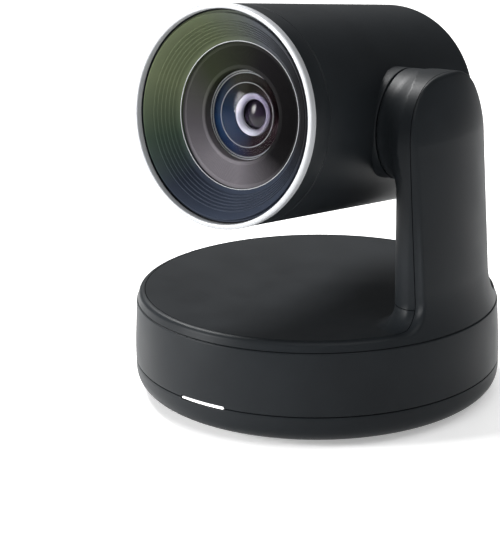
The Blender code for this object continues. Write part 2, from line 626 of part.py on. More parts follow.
def make_optics():
    rim = HEAD_RADIUS - WALL - GAP
    back = BAFFLE_RIM + 0.6
    lens_turned("lens_baffle", [(rim - 0.4, HEAD_FRONT - 0.9), (rim, HEAD_FRONT - 1.3),
                                (rim, HEAD_FRONT - 3.4), (back, BAFFLE_DEPTH - 2.6), (back, BAFFLE_DEPTH - 4),
                                (BAFFLE_RIM, BAFFLE_DEPTH - 4), (BAFFLE_RIM, BAFFLE_DEPTH)], DARK)
    inner, outer = BARREL_RADII
    lens_turned("lens_cell", [(BAFFLE_RIM - GAP, BAFFLE_DEPTH - 0.5), (BAFFLE_RIM - GAP, CELL_FACE - 3),
                              (outer, 43.5), (outer, 40), (CELL_RADIUS - 0.3, 40),
                              (CELL_RADIUS - 0.3, CELL_FACE), (CELL_RADIUS + 0.8, CELL_FACE)], DARK)
    edge = CELL_RADIUS - 0.6
    lens_turned("front_lens", [(0, 51.6), (edge * 0.35, 51.2), (edge * 0.7, 49.8), (edge, 47.2), (edge, 44.5),
                               (edge * 0.8, 44.5), (edge * 0.5, 46.2), (0, 47.4)], GLASS)
    lens_turned("lens_barrel", ring(inner, outer, -10, 40 - GAP), DARK)
    for name, middle, clear in (("zoom", 22, 12.0), ("focus", 2, 11.0)):
        lens_turned(name + "_cell", ring(clear, inner - 0.1, middle - 3, middle + 3), DARK)
        edge = clear - GAP
        lens_turned(name + "_lens", [(0, middle + 2.4), (clear * 0.6, middle + 1.8), (edge, middle + 0.6),
                                     (edge, middle - 1.4), (0, middle - 1.4)], GLASS)


def make_head_inside():
    _, outer = BARREL_RADII
    frame = lens_turned("head_frame", ring(outer + GAP, outer + 2.6, -6, 14), STEEL)
    side = box("head_frame_side", (outer + 1.5, -14, -13), (outer + 5.5, 6, 13), None, parent=HEAD)
    socket = turned("frame_socket", disc(SHAFT_RADIUS + GAP, 15, 40), None, turn=(0, 90, 0), parent=HEAD)
    clear = lens_turned("frame_clear", disc(outer + GAP, -30, 40), None)
    cut(join(frame, side), socket, clear)
    flange = outer + 5.5 + GAP
    end = 62.2
    turned("tilt_shaft", [(0, end), (SHAFT_RADIUS, end), (SHAFT_RADIUS, flange + 2), (6.5, flange + 2),
                          (6.5, flange), (SHAFT_RADIUS, flange), (SHAFT_RADIUS, flange - 2.6),
                          (0, flange - 2.6)], STEEL, turn=(0, 90, 0), parent=HEAD)
    turned("tilt_bearing_inner", ring(SHAFT_RADIUS + 0.05, 5.6, 48, 53), STEEL, turn=(0, 90, 0), parent=HEAD)
    outline = gear_outline(TILT_TEETH, math.radians(TILT_REST))
    flat("tilt_gear", [outline, circle(SHAFT_RADIUS + 0.1)], 3.0, WHITE, location=(58.6, 0, 0), turn=(0, 90, 0),
         parent=HEAD)
    box("sensor_board", (-20, 15.6, -16), (20, 17.2, 18), BOARD, parent=HEAD)
    box("image_sensor", (-6.5, 13.9, LENS_RISE - 4.5), (6.5, 15.3, LENS_RISE + 4.5), GLASS, parent=HEAD)


clear_scene()
PARTS = new_collection("ptz_camera")
CUTTERS = new_collection("cutters", hidden=True)
SHELL = new_material("charcoal shell", (0.026, 0.029, 0.033), 0.5)
DARK = new_material("black moulding", (0.012, 0.012, 0.014), 0.55)
CHROME = new_material("polished trim", (0.75, 0.76, 0.78), 0.2, 1.0)
STEEL = new_material("steel", (0.5, 0.5, 0.52), 0.35, 1.0)
BRASS = new_material("brass", (0.7, 0.5, 0.22), 0.35, 1.0)
RUBBER = new_material("rubber", (0.02, 0.02, 0.02), 0.8)
BOARD = new_material("circuit board", (0.01, 0.09, 0.05), 0.5)
WHITE = new_material("acetal", (0.75, 0.75, 0.72), 0.45)
GLASS = new_material("coated glass", (0.05, 0.04, 0.09), 0.05)
LIGHT = new_material("light diffuser", (0.9, 0.92, 0.95), 0.4)
TURRET = pivot("pan_axis")
HEAD = pivot("tilt_axis", (0, 0, TILT_Z), TILT_REST, TURRET)

make_base_bottom()
make_base_wall()
make_light_bar()
make_base_inside()
make_ports()
make_pairing_button()
make_pan_drive()
make_turret_cover()
make_deck()
make_arm_inner_shell()
make_turret_inside()
make_arm_inside()
make_head_shells()
make_optics()
make_head_inside()
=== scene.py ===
"""The looks of a pan-tilt-zoom conference camera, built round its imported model.

Laid out as an add-on: the sizes and colours are properties, each group of like pieces has an
operator, and main() calls the operators in order. Lengths in the functions below are in
millimetres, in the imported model's own frame: the lens looks along -Y, the arm stands on the +X
side and +Z is up. MM turns them into Blender's metres.
"""

import json
import math

import bmesh
import bpy
import numpy as np
from mathutils import Matrix, Vector


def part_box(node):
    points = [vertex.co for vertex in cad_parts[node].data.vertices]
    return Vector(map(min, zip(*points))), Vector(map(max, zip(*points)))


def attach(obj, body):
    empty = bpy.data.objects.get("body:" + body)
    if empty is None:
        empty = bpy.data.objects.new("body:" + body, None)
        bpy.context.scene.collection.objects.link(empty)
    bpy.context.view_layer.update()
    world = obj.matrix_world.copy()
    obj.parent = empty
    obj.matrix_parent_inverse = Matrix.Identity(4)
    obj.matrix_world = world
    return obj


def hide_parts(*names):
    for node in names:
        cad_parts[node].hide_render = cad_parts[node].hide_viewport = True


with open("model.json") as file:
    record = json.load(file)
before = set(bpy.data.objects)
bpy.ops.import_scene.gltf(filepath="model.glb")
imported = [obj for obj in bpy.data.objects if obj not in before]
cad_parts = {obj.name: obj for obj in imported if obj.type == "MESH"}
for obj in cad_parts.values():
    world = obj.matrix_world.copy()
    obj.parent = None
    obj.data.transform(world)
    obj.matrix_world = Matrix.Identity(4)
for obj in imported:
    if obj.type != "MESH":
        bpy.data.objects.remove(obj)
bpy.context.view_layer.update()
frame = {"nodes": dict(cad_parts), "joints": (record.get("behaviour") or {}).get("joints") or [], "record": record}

bl_info = {
    "name": "PTZ camera",
    "version": (1, 0, 0),
    "blender": (4, 5, 0),
    "location": "View3D > Sidebar > PTZ camera",
    "description": "Builds the shells, lens and finishes of a pan-tilt-zoom camera",
    "category": "Object",
}

MM = 0.001
ROUND_STEPS = 192  # facets round a turned piece
FIELD_STEP = 0.8  # spacing of the points that the turret's surface is found on
SHARP_ANGLE = math.radians(32.0)  # edges of made meshes over this stay sharp
NODE_SHARP_ANGLE = math.radians(35)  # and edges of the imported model's own nodes
GAP = 0.3  # between two shells, and round what is set into one
WALL = 2.2


def corners(node):
    """A node's lowest and highest corners, in millimetres."""
    return [Vector(corner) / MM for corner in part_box(node)]


def joint(name):
    return next(j for j in frame["joints"] if j["name"] == name)


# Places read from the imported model
WALL_HIGH = corners("base_wall")[1]
COVER_LOW, COVER_HIGH = corners("turret_cover")
DECK_LOW, DECK_HIGH = corners("deck")
ARM_LOW, ARM_HIGH = corners("arm_inner_shell")
FOOT_HIGH = corners("foot_ring")[1]
LIGHT_LOW, LIGHT_HIGH = corners("light_bar")
BASE_RADIUS = WALL_HIGH.x
DECK_RADIUS = DECK_HIGH.y
TILT_POINT = Vector(joint("tilt")["pos_m"]) / MM
TILT_Z = TILT_POINT.z
BOSS_FACE = ARM_LOW.x
ARM_TOP = ARM_HIGH.z
ARM_HALF = ARM_HIGH.y
LENS_AXIS = Vector(joint("zoom_slide")["axis"]).normalized()
TRIM_MIDDLE = sum(corners("trim_ring"), Vector()) / 2
# The point of the lens axis that is nearest to the tilt joint
LENS_POINT = TRIM_MIDDLE + (TILT_POINT - TRIM_MIDDLE).dot(LENS_AXIS) * LENS_AXIS
TRIM_DEPTH = 2.6
HEAD_FRONT = (TRIM_MIDDLE - LENS_POINT).length + TRIM_DEPTH / 2
HEAD_FRAME = (Matrix.Translation(LENS_POINT * MM)
              @ Vector((0, 0, 1)).rotation_difference(LENS_AXIS).to_matrix().to_4x4())

# The base's own shape
LOWER_SEAM = 14.0
INNER_RADIUS = BASE_RADIUS - 2.9
BOWL_TOP, BOWL_EXPONENT = 12.2, 3.0
UNDERSIDE, UNDERSIDE_RADIUS = 0.45, 54.0
FOOT_WIDTH = 8
WALL_TOP_RADIUS = 76.0
PORT_HALF, PORT_LOW, PORT_HIGH = 28.0, 18.0, 33.0  # the window behind which the ports stand
LOCK_HALF_WIDTH, LOCK_HALF_HEIGHT = 3.5, 1.5
REAR_CUT = (50, 90)  # the depths that the cutters at the back run through
LIGHT_ROUNDING, LIGHT_INSET = 0.3, 0.2
LIGHT_STEPS = 24

# The turret's own shape
RING_TOP = 43.5
DECK_DISH = 4.2
ARM_CENTRE = 111.5
ARM_EXPONENT, EDGE_EXPONENT = 2.5, 2.1
ARM_INNER_X, ARM_CORNER = 51.5, 9.5
SEAM_X, SEAM_Z, SEAM_LEAN = 61.0, 124.0, 0.044
ROOT_SEAM = ARM_LOW.z - GAP / 2
BAND_DEPTH, BAND_INSET = 4.5, 1.5
BAND_TOP_SHARE = 0.9  # how much of the inset there is at the arm's top
BOSS_RADIUS, BOSS_ROUNDING = ARM_TOP - TILT_Z, 0.9
BOSS_FLARE_X, BOSS_FLARE = (50, 59), (0.8, 3.4)  # how much wider the boss is at these two places
BOSS_BORE, BOSS_BORE_START, BOSS_BORE_LENGTH = 6, 20, 60
FILLET_CHANGE_X = (53, 62)  # between the root's fillet and the foot's
EDGE_CHANGE_TOP = 52  # where the ring's edge has become the arm's
COVER_RADIUS, COVER_LEAN = 72.4, 0.063
FLARE_TOP, FLARE_HEIGHT, FLARE_REACH = 56.0, 16.0, 2.1
CROWN_Z, CROWN_INSET = 114.0, 4.6
TURRET_BOTTOM = DECK_LOW.z + 0.3

# The head's own shape, along the lens axis from LENS_POINT
HEAD_RADIUS = 42.3
HEAD_SEAM = 52.4
HEAD_STRAIGHT_END, HEAD_REAR, HEAD_EXPONENT = -53.9, -68.9, 2.3
COLLAR_DEPTH = 36
HEAD_BORE = 7
TRIM_INNER, TRIM_OUTER = 40.4, 42.5
BAFFLE_RIM, BAFFLE_DEPTH = 28.4, 52.4
BAFFLE_STEP_RADIUS = 29.0
RIBS_OUTER, RIBS_INNER, PLAIN_BAND = 36.2, 29.9, 37.5
CELL_RADIUS, CELL_FACE = 17.9, 50.4
CELL_BACK, CELL_BACK_RADIUS, CELL_STEP = 40.2, 22.2, 43.5
LENS_APEX, LENS_EDGE, LENS_THICKNESS = 51.6, 47.4, 1.0
SECOND_BACK, SECOND_BORE = 40.6, 8.5
IRIS_RADIUS, PUPIL_RADIUS = 8.3, 5.7


# ---------------------------------------------------------------- sizes and colours


def length(name, description, default):
    return bpy.props.FloatProperty(name=name, description=description, default=default * MM,
                                   unit="LENGTH", precision=5)


def colour(name, description, default):
    return bpy.props.FloatVectorProperty(name=name, description=description, default=default, size=3,
                                         subtype="COLOR", min=0.0, max=1.0)


class CameraSizes(bpy.types.PropertyGroup):
    """Sizes that shape the fine detail."""

    seam_gap: length("Seam gap", "Width of the dark line between two shells", GAP)
    edge_rounding: length("Edge rounding", "Radius of the crisp edge round the arm's cover", 0.7)
    lip_rounding: length("Lip rounding", "Radius of the turret ring's upper edge", 1.5)
    foot_fillet: length("Foot fillet", "Radius with which the cover sweeps out onto the ring", 10.5)
    root_fillet: length("Root fillet", "Radius with which the arm's foot sweeps out onto the deck", 8.0)
    boss_fillet: length("Boss fillet", "Radius between the boss and the arm's inner face", 6.5)
    rib_depth: length("Rib depth", "Height of the ribs in the lens hood", 0.7)
    rib_count: bpy.props.IntProperty(name="Ribs", description="Ribs in the lens hood", default=6, min=0)
    thread_depth: length("Thread depth", "Height of the anti-glare threads round the lens", 0.16)
    thread_count: bpy.props.IntProperty(name="Threads", description="Threads round the lens",
                                        default=16, min=0)


class CameraColours(bpy.types.PropertyGroup):
    """Colours of the finishes."""

    shell: colour("Shell", "Charcoal moulding", (0.011, 0.013, 0.015))
    moulding: colour("Black moulding", "Inner and rear mouldings", (0.008, 0.0085, 0.0095))
    trim: colour("Trim", "Bright ring round the lens hood", (0.36, 0.37, 0.385))
    steel: colour("Steel", "Plated steel", (0.52, 0.53, 0.55))
    brass: colour("Brass", "Pinions", (0.72, 0.52, 0.24))
    acetal: colour("Acetal", "Gears", (0.76, 0.76, 0.73))
    board: colour("Board", "Circuit boards", (0.01, 0.10, 0.05))
    rubber: colour("Rubber", "Foot ring", (0.016, 0.016, 0.017))
    light: colour("Light", "Status light", (1.0, 1.0, 1.0))
    light_glow: bpy.props.FloatProperty(name="Light glow", description="Strength of the status light",
                                        default=1.3)
    floor: colour("Floor", "Studio floor", (0.93, 0.93, 0.93))


# ---------------------------------------------------------------- meshes


def finished_mesh(name, shape, matrix=None):
    """The bmesh as a smooth-shaded mesh, with the edges over SHARP_ANGLE left sharp."""
    bmesh.ops.recalc_face_normals(shape, faces=shape.faces)
    if matrix is not None:
        bmesh.ops.transform(shape, matrix=matrix, verts=shape.verts)
    mesh = bpy.data.meshes.new(name)
    shape.to_mesh(mesh)
    shape.free()
    mesh.shade_smooth()
    mesh.set_sharp_from_angle(angle=SHARP_ANGLE)
    return mesh


def rounded(points):
    """A closed outline whose (across, along, rounding) corners become short curves."""
    outline = []
    for i, (across, along, soft) in enumerate(points):
        corner = Vector((across, along))
        if not soft:
            outline.append(tuple(corner))
            continue
        before = (Vector(points[i - 1][:2]) - corner).normalized() * soft
        after = (Vector(points[(i + 1) % len(points)][:2]) - corner).normalized() * soft
        for share in (0, 0.25, 0.5, 0.75, 1):
            outline.append(tuple(corner + before * (1 - share) ** 2 + after * share**2))
    return outline


def superellipse(inner, outer, high, low, exponent, count):
    """A quarter turn from (outer, high) to (inner, low)."""
    turns = [math.pi / 2 * i / count for i in range(count + 1)]
    return [(inner + (outer - inner) * max(math.cos(a), 0.0) ** (2 / exponent),
             high + (low - high) * math.sin(a) ** (2 / exponent)) for a in turns]


def turned(name, profile, matrix=None, steps=ROUND_STEPS):
    """A (radius, height) profile turned round Z. It stays open where both ends lie on the axis."""
    shape = bmesh.new()
    points = [shape.verts.new((radius * MM, 0, height * MM)) for radius, height in profile]
    pairs = list(zip(points, points[1:]))
    if profile[0][0] > 0 or profile[-1][0] > 0:
        pairs.append((points[-1], points[0]))
    edges = [shape.edges.new(pair) for pair in pairs]
    bmesh.ops.spin(shape, geom=points + edges, axis=(0, 0, 1), cent=(0, 0, 0), angle=math.tau, steps=steps,
                   use_merge=True)
    bmesh.ops.remove_doubles(shape, verts=shape.verts, dist=0.000001)
    return finished_mesh(name, shape, matrix)


def block(name, low, high, bevel):
    """A block between two corners, its edges rounded by bevel."""
    shape = bmesh.new()
    bmesh.ops.create_cube(shape, size=1.0)
    size = [(b - a) * MM for a, b in zip(low, high)]
    middle = [(a + b) / 2 * MM for a, b in zip(low, high)]
    matrix = Matrix.Translation(middle) @ Matrix.Diagonal((*size, 1))
    bmesh.ops.transform(shape, matrix=matrix, verts=shape.verts)
    bmesh.ops.bevel(shape, geom=shape.edges[:], offset=bevel * MM, segments=3, affect="EDGES", profile=0.5)
    return finished_mesh(name, shape)


def solid_rod(name, radius, low, high, matrix, steps=64):
    """A closed cylinder along Z between two heights, then moved by the matrix."""
    return turned(name, [(0, high), (radius, high), (radius, low), (0, low)], matrix, steps)


def keep_side(mesh, point, normal):
    """Cuts the mesh by a plane, clears the side that the normal points to, and closes the cut."""
    shape = bmesh.new()
    shape.from_mesh(mesh)
    everything = shape.verts[:] + shape.edges[:] + shape.faces[:]
    cut = bmesh.ops.bisect_plane(shape, geom=everything, dist=1e-8, plane_co=Vector(point) * MM,
                                 plane_no=normal, clear_outer=True)
    rim = [edge for edge in cut["geom_cut"] if isinstance(edge, bmesh.types.BMEdge)]
    bmesh.ops.triangle_fill(shape, edges=rim, use_beauty=True)
    return finished_mesh(mesh.name, shape)


def carve(mesh, operation, *cutters):
    """The mesh joined with, kept inside or cut by closed cutter meshes."""
    obj = bpy.data.objects.new(mesh.name, mesh)
    bpy.context.scene.collection.objects.link(obj)
    helpers = []
    for cutter in cutters:
        helper = bpy.data.objects.new(cutter.name + "_cutter", cutter)
        bpy.context.scene.collection.objects.link(helper)
        helpers.append(helper)
        step = obj.modifiers.new(cutter.name, "BOOLEAN")
        step.operation = operation
        step.solver = "MANIFOLD"
        step.object = helper
    graph = bpy.context.evaluated_depsgraph_get()
    made = bpy.data.meshes.new_from_object(obj.evaluated_get(graph))
    made.name = mesh.name
    for used in [obj, *helpers]:
        bpy.data.objects.remove(used)
    if not made.polygons:
        raise RuntimeError(f"{mesh.name}: nothing is left of it")
    made.shade_smooth()
    made.set_sharp_from_angle(angle=SHARP_ANGLE)
    return made


def place_piece(mesh, material, body, slot, *nodes):
    """Shows the mesh as a piece that rides on a body and stands for these nodes."""
    piece = bpy.data.objects.new(mesh.name, mesh)
    bpy.context.scene.collection.objects.link(piece)
    mesh.materials.clear()
    mesh.materials.append(material)
    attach(piece, body)
    if nodes:
        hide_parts(*nodes)


# ---------------------------------------------------------------- the turret's surface, as a distance field


def rounded_max(a, b, radius):
    """The overlap of two solids, with the edge between them rounded."""
    curve = np.hypot(np.maximum(a + radius, 0), np.maximum(b + radius, 0))
    return np.minimum(np.maximum(a, b), -radius) + curve


def filleted_min(a, b, radius):
    """Two solids joined, with a fillet between them."""
    curve = np.hypot(np.maximum(radius - a, 0), np.maximum(radius - b, 0))
    return np.maximum(np.minimum(a, b), radius) - curve


def arm_outline(y, z, half, top, exponent):
    """Distance from the arm's side outline: straight below ARM_CENTRE, and a superelliptic round top."""
    across = np.abs(y) / half + 1e-4
    up = np.maximum(z - ARM_CENTRE, 0) / (top - ARM_CENTRE)
    reach = (across**exponent + up**exponent) ** (1 / exponent)
    slope = np.hypot(across ** (exponent - 1) / half, up ** (exponent - 1) / (top - ARM_CENTRE))
    return (reach - 1) / (slope * reach ** (1 - exponent))


def cover_radius(z):
    """Distance of the outer wall from the pan axis: ring, flare, lean and rounded crown."""
    flare = np.clip((FLARE_TOP - z) / FLARE_HEIGHT, 0, 1.1)
    crown = np.clip((z - CROWN_Z) / (ARM_TOP - CROWN_Z), 0, 1)
    lean = COVER_LEAN * (np.maximum(z, 40) - FLARE_TOP)
    return COVER_RADIUS - lean + FLARE_REACH * flare**1.6 - CROWN_INSET * crown**1.5


def turret_field(x, y, z):
    """Distance from the surface of the whole turret before its seams are cut, negative inside."""
    sizes = bpy.context.scene.camera_sizes
    around = np.hypot(x, y)
    share = np.clip((x - SEAM_X) / BAND_DEPTH, 0, 1)
    band = share * share * (3 - 2 * share)
    half, top = ARM_HALF - BAND_INSET * band, ARM_TOP - BAND_TOP_SHARE * BAND_INSET * band
    exponent = ARM_EXPONENT + (EDGE_EXPONENT - ARM_EXPONENT) * band
    outline = arm_outline(y, z, half, top, exponent)
    slab = rounded_max(outline, ARM_INNER_X - x, ARM_CORNER)
    widening = np.interp(x, (BOSS_FACE, *BOSS_FLARE_X), (0, *BOSS_FLARE))
    boss_side = np.hypot(y, z - TILT_Z + widening) - BOSS_RADIUS - widening
    boss = rounded_max(boss_side, BOSS_FACE - x, BOSS_ROUNDING)
    arm = np.maximum(filleted_min(slab, boss, sizes.boss_fillet / MM), outline)
    deck_top = RING_TOP - DECK_DISH * (1 - np.minimum(around / DECK_RADIUS, 1) ** 2)
    fillet = np.interp(x, FILLET_CHANGE_X, (sizes.root_fillet / MM, sizes.foot_fillet / MM))
    body = filleted_min(arm, z - deck_top, fillet)
    lip_and_edge = (sizes.lip_rounding / MM, sizes.edge_rounding / MM)
    edge = np.interp(z, (RING_TOP, EDGE_CHANGE_TOP), lip_and_edge)
    return rounded_max(rounded_max(body, around - cover_radius(z), edge), TURRET_BOTTOM - z, 0.1)


def gradient(field, points, reach=0.02):
    """Direction in which the field grows at each point, one row each."""
    slopes = []
    for axis in range(3):
        step = np.zeros(3)
        step[axis] = reach
        slopes.append(field(*(points + step).T) - field(*(points - step).T))
    return np.stack(slopes, 1) / (2 * reach)


def pull_onto(field, points, most):
    """Moves points onto the field's surface."""
    for _ in range(3):
        slope = gradient(field, points)
        step = (field(*points.T) / np.maximum((slope**2).sum(1), 0.1))[:, None] * slope
        size = np.linalg.norm(step, axis=1, keepdims=True)
        points = points - step * np.minimum(1, most / np.maximum(size, 1e-9))
    return points


def surface_of(name, field, low, high, step):
    """A closed mesh on the field's surface, with a vertex in each cell that the surface crosses.

    The vertices are evened out and pulled onto the surface.
    """
    axes = [np.arange(a, b + step, step) for a, b in zip(low, high)]
    inside = field(*np.meshgrid(*axes, indexing="ij")) < 0
    cells = [n - 1 for n in inside.shape]
    full = sum(inside[i:i + cells[0], j:j + cells[1], k:k + cells[2]].astype(np.int8)
               for i in (0, 1) for j in (0, 1) for k in (0, 1))
    crossed = (full > 0) & (full < 8)
    number = np.full(crossed.shape, -1)
    number[crossed] = np.arange(crossed.sum())
    points = pull_onto(field, (np.argwhere(crossed) + 0.5) * step + np.array([a[0] for a in axes]), step)
    quads = []
    for axis in range(3):
        state = np.moveaxis(inside, (axis, (axis + 1) % 3, (axis + 2) % 3), (0, 1, 2))
        cell = np.moveaxis(number, (axis, (axis + 1) % 3, (axis + 2) % 3), (0, 1, 2))
        leaves = state[:-1, 1:-1, 1:-1] & ~state[1:, 1:-1, 1:-1]
        enters = ~state[:-1, 1:-1, 1:-1] & state[1:, 1:-1, 1:-1]
        around = np.stack([cell[:, :-1, :-1], cell[:, 1:, :-1], cell[:, 1:, 1:], cell[:, :-1, 1:]], -1)
        quads += [around[leaves], around[enters][:, ::-1]]
    quads = np.concatenate(quads)
    for _ in range(3):
        total, count = np.zeros_like(points), np.zeros(len(points))
        for a, b in ((0, 1), (1, 2), (2, 3), (3, 0)):
            for start, end in ((a, b), (b, a)):
                np.add.at(total, quads[:, start], points[quads[:, end]])
                np.add.at(count, quads[:, start], 1)
        points = pull_onto(field, 0.5 * points + 0.5 * total / count[:, None], step)
    mesh = bpy.data.meshes.new(name)
    mesh.from_pydata((points * MM).tolist(), [], quads.tolist())
    mesh.update()
    return mesh


def shade_from(mesh, field):
    """Shades the mesh by the field where a face lies on its surface, and flat at a cut."""
    points = np.array([v.co for v in mesh.vertices], float) / MM
    slope = gradient(field, points)
    slope /= np.maximum(np.linalg.norm(slope, axis=1, keepdims=True), 1e-9)
    on_surface = np.abs(field(*points.T)) < 0.05
    vertex = np.empty(len(mesh.loops), np.int32)
    mesh.loops.foreach_get("vertex_index", vertex)
    sides = np.empty(len(mesh.polygons), np.int32)
    mesh.polygons.foreach_get("loop_total", sides)
    flat = np.empty(len(mesh.polygons) * 3)
    mesh.polygons.foreach_get("normal", flat)
    flat = np.repeat(flat.reshape(-1, 3), sides, axis=0)
    smooth = on_surface[vertex] & ((flat * slope[vertex]).sum(1) > 0.6)
    mesh.shade_smooth()
    mesh.normals_split_custom_set(np.where(smooth[:, None], slope[vertex], flat).tolist())


# ---------------------------------------------------------------- finishes


def linked(tree, kind, inputs=(), **settings):
    """A new node with its settings made, and its inputs set or linked."""
    node = tree.nodes.new(kind)
    for key, value in settings.items():
        setattr(node, key, value)
    for key, value in dict(inputs).items():
        if isinstance(value, bpy.types.NodeSocket):
            tree.links.new(value, node.inputs[key])
        else:
            node.inputs[key].default_value = value
    return node


def ramp(tree, factor, stops):
    """A colour ramp through (position, colour) stops."""
    node = linked(tree, "ShaderNodeValToRGB", {"Fac": factor})
    elements = node.color_ramp.elements
    while len(elements) < len(stops):
        elements.new(0.5)
    for element, (position, shade) in zip(elements, stops):
        element.position = position
        element.color = (*shade, 1.0)
    return node.outputs["Color"]


def scaled(shade, share):
    return tuple(min(channel * share, 1.0) for channel in shade)


def new_finish(name, sockets):
    """A material and its node tree, with values set on the shader's own sockets."""
    material = bpy.data.materials.new(name)
    material.use_nodes = True
    tree = material.node_tree
    shader = tree.nodes["Principled BSDF"]
    for key, value in sockets.items():
        shader.inputs[key].default_value = value
    return material, tree, shader


def add_grain(tree, shader, roughness, spread, grain, depth):
    """Fine surface grain as bump, and cloudy changes of roughness."""
    place = linked(tree, "ShaderNodeTexCoord").outputs["Object"]
    cloud = linked(tree, "ShaderNodeTexNoise", {"Vector": place, "Scale": 55.0, "Detail": 4.0}).outputs["Fac"]
    fine = linked(tree, "ShaderNodeTexNoise", {"Vector": place, "Scale": grain, "Detail": 2.0}).outputs["Fac"]
    rough = linked(tree, "ShaderNodeMapRange", {"Value": cloud, "From Min": 0.3, "From Max": 0.7,
                                                "To Min": roughness - spread, "To Max": roughness + spread})
    tree.links.new(rough.outputs["Result"], shader.inputs["Roughness"])
    bump = linked(tree, "ShaderNodeBump", {"Height": fine, "Distance": depth * MM, "Strength": 0.6})
    tree.links.new(bump.outputs["Normal"], shader.inputs["Normal"])
    return place, cloud, fine


def multiplied(tree, first, second):
    """The product of two colours."""
    node = linked(tree, "ShaderNodeMix", {0: 1.0, 6: first, 7: second}, data_type="RGBA",
                  blend_type="MULTIPLY")
    return node.outputs[2]


def grained_finish(name, shade, roughness, metallic=0.0, spread=0.05, grain=2200.0, depth=0.03,
                   contrast=0.1, **sockets):
    """A finish with fine grain, and colour that changes a little from place to place."""
    material, tree, shader = new_finish(name, {"Metallic": metallic, **sockets})
    _, cloud, fine = add_grain(tree, shader, roughness, spread, grain, depth)
    broad = ramp(tree, cloud, [(0.3, scaled(shade, 1 - contrast)), (0.7, scaled(shade, 1 + contrast))])
    speck = ramp(tree, fine, [(0.35, (1 - contrast,) * 3), (0.65, (1.0,) * 3)])
    tree.links.new(multiplied(tree, broad, speck), shader.inputs["Base Color"])
    return material


def painted_light_material(name, stops, roughness, grain=1500.0, **sockets):
    """A material whose colour changes round the lens axis, to paint reflections and shade on it: stops run
    anticlockwise from the right.
    """
    material, tree, shader = new_finish(name, sockets)
    place, _, _ = add_grain(tree, shader, roughness, 0.04, grain, 0.05)
    centred = linked(tree, "ShaderNodeVectorMath", {0: place, 1: LENS_POINT * MM}, operation="SUBTRACT")
    facing = linked(tree, "ShaderNodeMapping", {"Vector": centred.outputs[0], "Scale": (-1, -1, -1),
                                                "Rotation": (-math.pi / 2, 0, 0)})
    turn = linked(tree, "ShaderNodeTexGradient", {"Vector": facing.outputs[0]}, gradient_type="RADIAL")
    tree.links.new(ramp(tree, turn.outputs["Fac"], stops), shader.inputs["Base Color"])
    return material


def board_finish(name, shade):
    """Solder mask with pale tracks under it."""
    material, tree, shader = new_finish(name, {"Coat Weight": 0.4, "Coat Roughness": 0.15})
    place, _, _ = add_grain(tree, shader, 0.4, 0.05, 900.0, 0.02)
    tracks = linked(tree, "ShaderNodeTexBrick", {
        "Vector": place, "Color1": (*shade, 1), "Color2": (*scaled(shade, 1.5), 1),
        "Mortar": (*scaled(shade, 2.6), 1), "Scale": 160.0, "Mortar Size": 0.03})
    tree.links.new(tracks.outputs["Color"], shader.inputs["Base Color"])
    return material


FINISHES = {}


def finish(slot):
    """The finish of a material slot, made on its first use."""
    if slot not in FINISHES:
        colours = bpy.context.scene.camera_colours
        makers = {
            "charcoal_shell": lambda: grained_finish(
                "charcoal moulding", colours.shell, 0.44, spread=0.03, **{"Specular IOR Level": 0.1}),
            "black_moulding": lambda: grained_finish("black moulding", colours.moulding, 0.5),
            "polished_trim": lambda: grained_finish(
                "bright trim", colours.trim, 0.45, 0.15, contrast=0.04, depth=0.01),
            "steel": lambda: grained_finish("plated steel", colours.steel, 0.32, 1.0, grain=700.0),
            "brass": lambda: grained_finish("machined brass", colours.brass, 0.3, 1.0, grain=900.0),
            "acetal": lambda: grained_finish("acetal", colours.acetal, 0.42, contrast=0.04),
            "rubber": lambda: grained_finish("foot rubber", colours.rubber, 0.8, grain=1200.0, depth=0.08),
            "circuit_board": lambda: board_finish("circuit board", colours.board),
            "coated_glass": lambda: grained_finish(
                "coated lens", (0.01, 0.006, 0.016), 0.15, spread=0.02, depth=0.0,
                **{"Specular IOR Level": 0.25}),
        }
        FINISHES[slot] = makers[slot]()
    return FINISHES[slot]


# ---------------------------------------------------------------- operators


